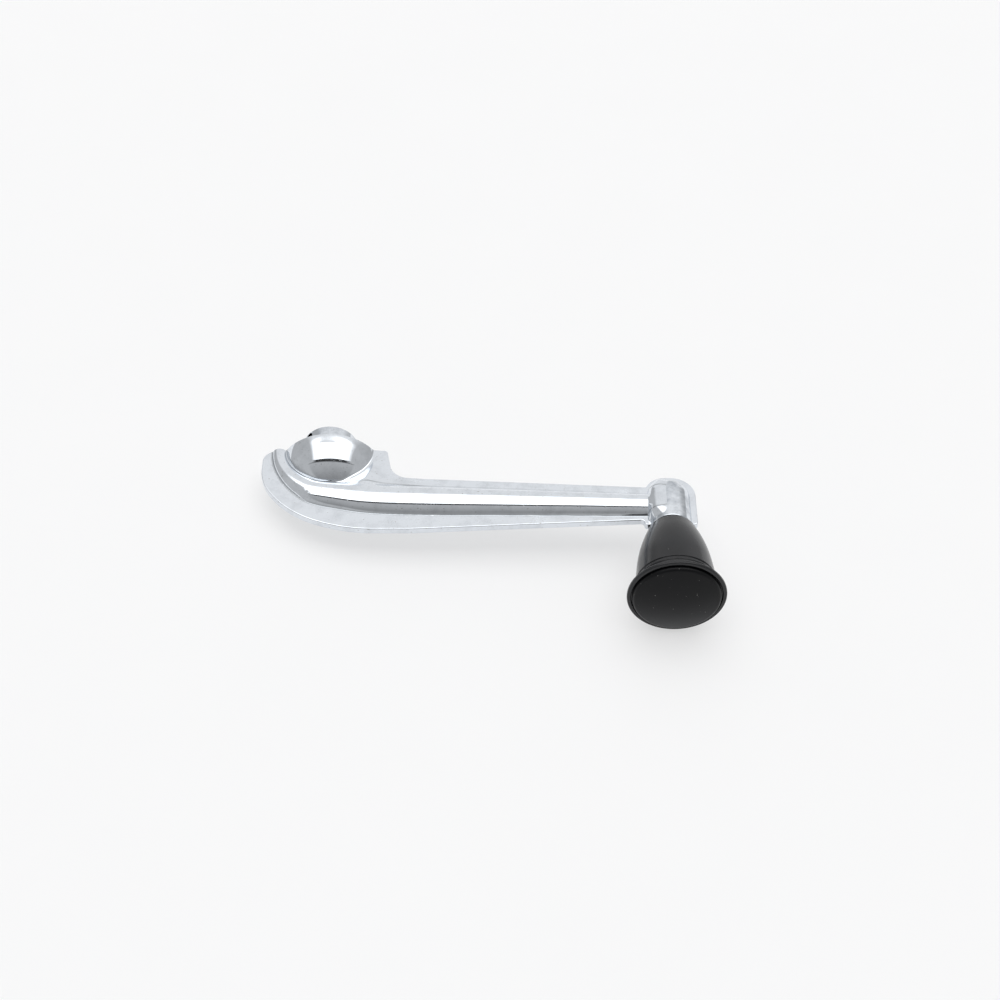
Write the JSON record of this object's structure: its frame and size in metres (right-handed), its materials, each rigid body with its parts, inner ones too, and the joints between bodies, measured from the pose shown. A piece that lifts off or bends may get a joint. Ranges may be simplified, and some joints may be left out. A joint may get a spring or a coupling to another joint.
{
  "type": "window crank handle",
  "caption": "Car window winder handle: a flat die-cast chromed arm with a domed hub and rib, and a flared plastic knob that spins on a shouldered bolt.",
  "frame": {"origin": "centre of the spindle socket's mouth, at the end of the boss behind the hub", "axes": "+X along the arm to the knob, +Y out of the socket towards the door, +Z across the thin web"},
  "size_m": [0.1285, 0.0606, 0.027],
  "materials": {
    "chromed_casting": "worn bright chrome with fine pitting",
    "bare_steel": "turned, bare",
    "dark_steel": "blackened",
    "knob_plastic": "black, satin gloss",
    "bush_brass": "turned",
    "cap_plastic": "black, dull satin"
  },
  "bodies": {
    "arm": {"crank_arm": "chromed_casting", "spindle_sleeve": "bare_steel", "grub_screw": "dark_steel", "pivot_bolt": "bare_steel", "boss_washer": "bare_steel", "wave_washer": "bare_steel"},
    "knob": {"knob_body": "knob_plastic", "knob_bush": "bush_brass", "knob_cap": "cap_plastic"}
  },
  "joints": [
    {"name": "knob_spin", "type": "hinge", "parent": "arm", "child": "knob", "pos_m": [0.096, 0, 0], "axis": [0, 1, 0], "continuous": true}
  ]
}
